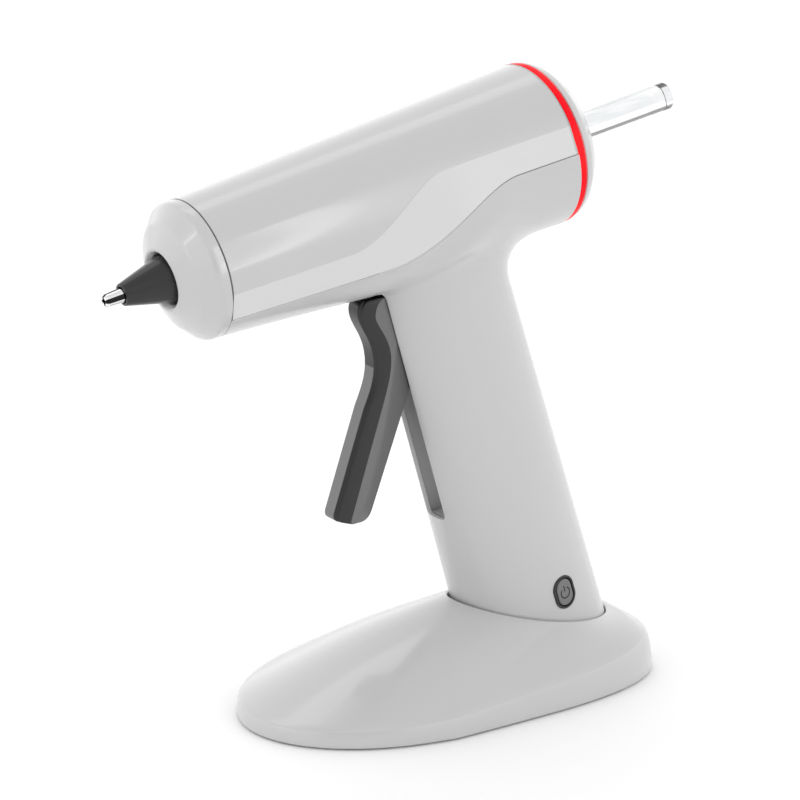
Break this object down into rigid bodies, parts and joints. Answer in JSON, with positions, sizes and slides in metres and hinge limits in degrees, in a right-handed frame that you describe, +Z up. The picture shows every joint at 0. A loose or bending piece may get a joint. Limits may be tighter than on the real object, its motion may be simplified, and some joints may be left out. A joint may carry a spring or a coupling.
{
  "type": "cordless glue gun",
  "caption": "Cordless hot-melt glue gun with trigger feed, lit rear ring and clear glue stick, standing in a weighted oval holder.",
  "frame": {"origin": "middle of the overall box, on the table that the holder's pads stand on", "axes": "+Z up, nozzle towards -X, +Y to the right of someone who aims the gun"},
  "size_m": [0.165, 0.0656, 0.1602],
  "materials": {
    "white_plastic": "fine satin moulded",
    "dark_plastic": "satin dark grey",
    "chrome": "polished plating",
    "red_lens": "translucent red, lit",
    "aluminium": "turned",
    "ceramic": "pressed ceramic",
    "silicone": "soft",
    "clear_glue": "clear thermoplastic",
    "green_board": "solder mask",
    "cell_wrap": "shrink sleeve",
    "inner_plastic": "moulded",
    "steel": "zinc plated",
    "rubber": "soft",
    "red_insulation": "silicone insulation",
    "black_insulation": "silicone insulation"
  },
  "bodies": {
    "stand": {"stand_ballast": "steel", "stand_base_plate": "inner_plastic", "stand_foot_pad_1": "rubber", "stand_foot_pad_2": "rubber", "stand_foot_pad_3": "rubber", "stand_foot_pad_4": "rubber", "stand_screw_1": "steel", "stand_screw_2": "steel", "stand_screw_3": "steel", "stand_screw_4": "steel", "stand_screw_5": "steel", "stand_shell": "white_plastic"},
    "gun": {"battery_cell": "cell_wrap", "battery_contact_foot": "steel", "battery_contact_top": "steel", "battery_cradle": "inner_plastic", "body_shell": "white_plastic", "button_bezel": "dark_plastic", "button_switch": "inner_plastic", "chamber_bracket_front": "inner_plastic", "chamber_bracket_rear": "inner_plastic", "charge_socket": "steel", "foot_cap": "white_plastic", "foot_screw_1": "steel", "foot_screw_2": "steel", "heater_clip": "steel", "heater_lead_left": "red_insulation", "heater_lead_right": "black_insulation", "heater_plate": "ceramic", "inlet_sleeve": "silicone", "led_board": "green_board", "light_ring": "red_lens", "main_board": "green_board", "melt_chamber": "aluminium", "nose_cap": "white_plastic", "nozzle_cone": "dark_plastic", "nozzle_tip": "chrome", "rear_cap": "white_plastic", "stick_guide": "inner_plastic", "top_cover": "white_plastic", "trigger_pin": "steel", "trigger_spring": "steel"},
    "trigger": {"trigger": "dark_plastic"},
    "feed": {"feed_carriage": "inner_plastic", "grip_jaw": "steel"},
    "glue_stick": {"glue_stick": "clear_glue"},
    "power_button": {"power_button": "dark_plastic"}
  },
  "joints": [
    {"name": "gun_lift", "type": "slide", "parent": "stand", "child": "gun", "axis": [-0.2974, 0, 0.9548], "range_m": [0, 0.045]},
    {"name": "trigger_pull", "type": "hinge", "parent": "gun", "child": "trigger", "pos_m": [0.00102, 0, 0.10514], "axis": [0, -1, 0], "range_deg": [0, 18], "stiffness_Nm_per_rad": 0.25, "springref_deg": -28.65, "deforming": ["trigger_spring"]},
    {"name": "feed_slide", "type": "slide", "parent": "gun", "child": "feed", "axis": [-0.9854, 0, -0.1702], "range_m": [0, 0.00535]},
    {"name": "stick_slide", "type": "slide", "parent": "gun", "child": "glue_stick", "axis": [0.9854, 0, 0.1702], "range_m": [-0.009, 0.09]},
    {"name": "button_press", "type": "slide", "parent": "gun", "child": "power_button", "axis": [-0.1364, 0.9897, -0.0425], "range_m": [0, 0.0006], "stiffness_N_per_m": 1500, "springref_m": -0.0006}
  ],
  "couplings": [
    {"joint": "feed_slide", "follows": "trigger_pull", "m_per_rad": 0.0169}
  ]
}
